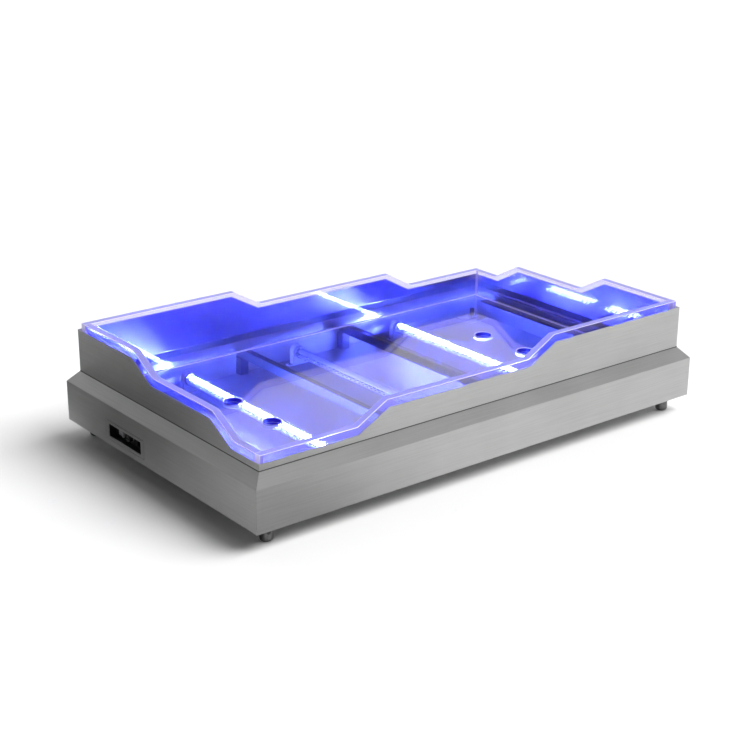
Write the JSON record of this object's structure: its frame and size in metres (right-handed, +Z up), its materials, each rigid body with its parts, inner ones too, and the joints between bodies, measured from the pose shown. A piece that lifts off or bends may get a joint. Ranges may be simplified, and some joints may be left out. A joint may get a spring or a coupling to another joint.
{
  "type": "ice display basin",
  "caption": "Clear acrylic ice display basin with stepped walls, lifted out of a folded stainless housing with lamp tubes under its floor, on levelling feet.",
  "frame": {"origin": "on the table under the middle of the housing's footprint", "axes": "+X along the front from the inlet end, +Y from front to back, +Z up"},
  "size_m": [1.1, 0.67, 0.239],
  "materials": {
    "housing_steel": "fine brushed along the length",
    "inner_steel": "mill-finished sheet and tube",
    "fastener_steel": "bright plated",
    "polished_foot": "turned and polished",
    "clear_acrylic": "clear cast sheet with polished edges",
    "lit_tube": "clear tube, lit",
    "unlit_tube": "clear tube, not lit",
    "lamp_board": "white coated strip board",
    "lamp_cap": "drawn and satin",
    "white_holder": "moulded",
    "black_moulding": "moulded satin black",
    "driver_case": "moulded pale grey",
    "fuse_glass": "glass with plated ends",
    "pin_brass": "nickel-washed",
    "lead_sheath": "soft white sheath"
  },
  "bodies": {
    "housing": {"front_panel": "housing_steel", "back_panel": "housing_steel", "left_panel": "housing_steel", "right_panel": "housing_steel", "inlet_bezel": "housing_steel", "bottom_plate": "inner_steel", "foot_plates": "inner_steel", "end_rail_left": "inner_steel", "end_rail_right": "inner_steel", "support_beam_left": "inner_steel", "support_beam_right": "inner_steel", "support_posts_left": "inner_steel", "support_posts_right": "inner_steel", "inlet_pocket": "inner_steel", "foot_nuts": "fastener_steel", "lampholder_screws": "fastener_steel", "driver_screws": "fastener_steel", "lampholder_left_front": "white_holder", "lampholder_left_back": "white_holder", "lampholder_middle_front": "white_holder", "lampholder_middle_back": "white_holder", "lampholder_right_front": "white_holder", "lampholder_right_back": "white_holder", "cable_clips": "white_holder", "switch_body": "black_moulding", "fuse_holder": "black_moulding", "power_inlet": "black_moulding", "led_driver": "driver_case", "fuse": "fuse_glass", "inlet_pins": "pin_brass", "lamp_lead_left": "lead_sheath", "lamp_lead_middle": "lead_sheath", "lamp_lead_right": "lead_sheath", "switched_feed": "lead_sheath", "neutral_feed": "lead_sheath", "fuse_wire": "lead_sheath", "switch_wire": "lead_sheath"},
    "basin": {"basin_floor": "clear_acrylic", "basin_front_wall": "clear_acrylic", "basin_back_wall": "clear_acrylic", "basin_left_wall": "clear_acrylic", "basin_right_wall": "clear_acrylic"},
    "rocker": {"switch_rocker": "black_moulding"},
    "fuse_cap": {"fuse_cap": "black_moulding"},
    "lamp_left": {"lamp_tube_left": "lit_tube", "lamp_board_left": "lamp_board", "lamp_caps_left": "lamp_cap"},
    "lamp_middle": {"lamp_tube_middle": "unlit_tube", "lamp_board_middle": "lamp_board", "lamp_caps_middle": "lamp_cap"},
    "lamp_right": {"lamp_tube_right": "lit_tube", "lamp_board_right": "lamp_board", "lamp_caps_right": "lamp_cap"},
    "foot_front_left": {"foot_front_left": "polished_foot"},
    "foot_back_left": {"foot_back_left": "polished_foot"},
    "foot_front_right": {"foot_front_right": "polished_foot"},
    "foot_back_right": {"foot_back_right": "polished_foot"}
  },
  "joints": [
    {"name": "basin_lift", "type": "slide", "parent": "housing", "child": "basin", "axis": [0, 0, 1], "range_m": [0, 0.16]},
    {"name": "rocker_tip", "type": "hinge", "parent": "housing", "child": "rocker", "pos_m": [-0.5355, 0.141, 0.06425], "axis": [0, 0, 1], "range_deg": [0, 20]},
    {"name": "fuse_cap_turn", "type": "hinge", "parent": "housing", "child": "fuse_cap", "pos_m": [-0.5365, 0.107, 0.06425], "axis": [1, 0, 0], "range_deg": [0, 90]},
    {"name": "lamp_left_twist", "type": "hinge", "parent": "housing", "child": "lamp_left", "pos_m": [-0.287, 0, 0.065], "axis": [0, 1, 0], "range_deg": [0, 90]},
    {"name": "lamp_middle_twist", "type": "hinge", "parent": "housing", "child": "lamp_middle", "pos_m": [-0.006, 0, 0.065], "axis": [0, 1, 0], "range_deg": [0, 90]},
    {"name": "lamp_right_twist", "type": "hinge", "parent": "housing", "child": "lamp_right", "pos_m": [0.275, 0, 0.065], "axis": [0, 1, 0], "range_deg": [0, 90]},
    {"name": "foot_front_left_level", "type": "slide", "parent": "housing", "child": "foot_front_left", "axis": [0, 0, -1], "range_m": [0, 0.01]},
    {"name": "foot_back_left_level", "type": "slide", "parent": "housing", "child": "foot_back_left", "axis": [0, 0, -1], "range_m": [0, 0.01]},
    {"name": "foot_front_right_level", "type": "slide", "parent": "housing", "child": "foot_front_right", "axis": [0, 0, -1], "range_m": [0, 0.01]},
    {"name": "foot_back_right_level", "type": "slide", "parent": "housing", "child": "foot_back_right", "axis": [0, 0, -1], "range_m": [0, 0.01]}
  ]
}
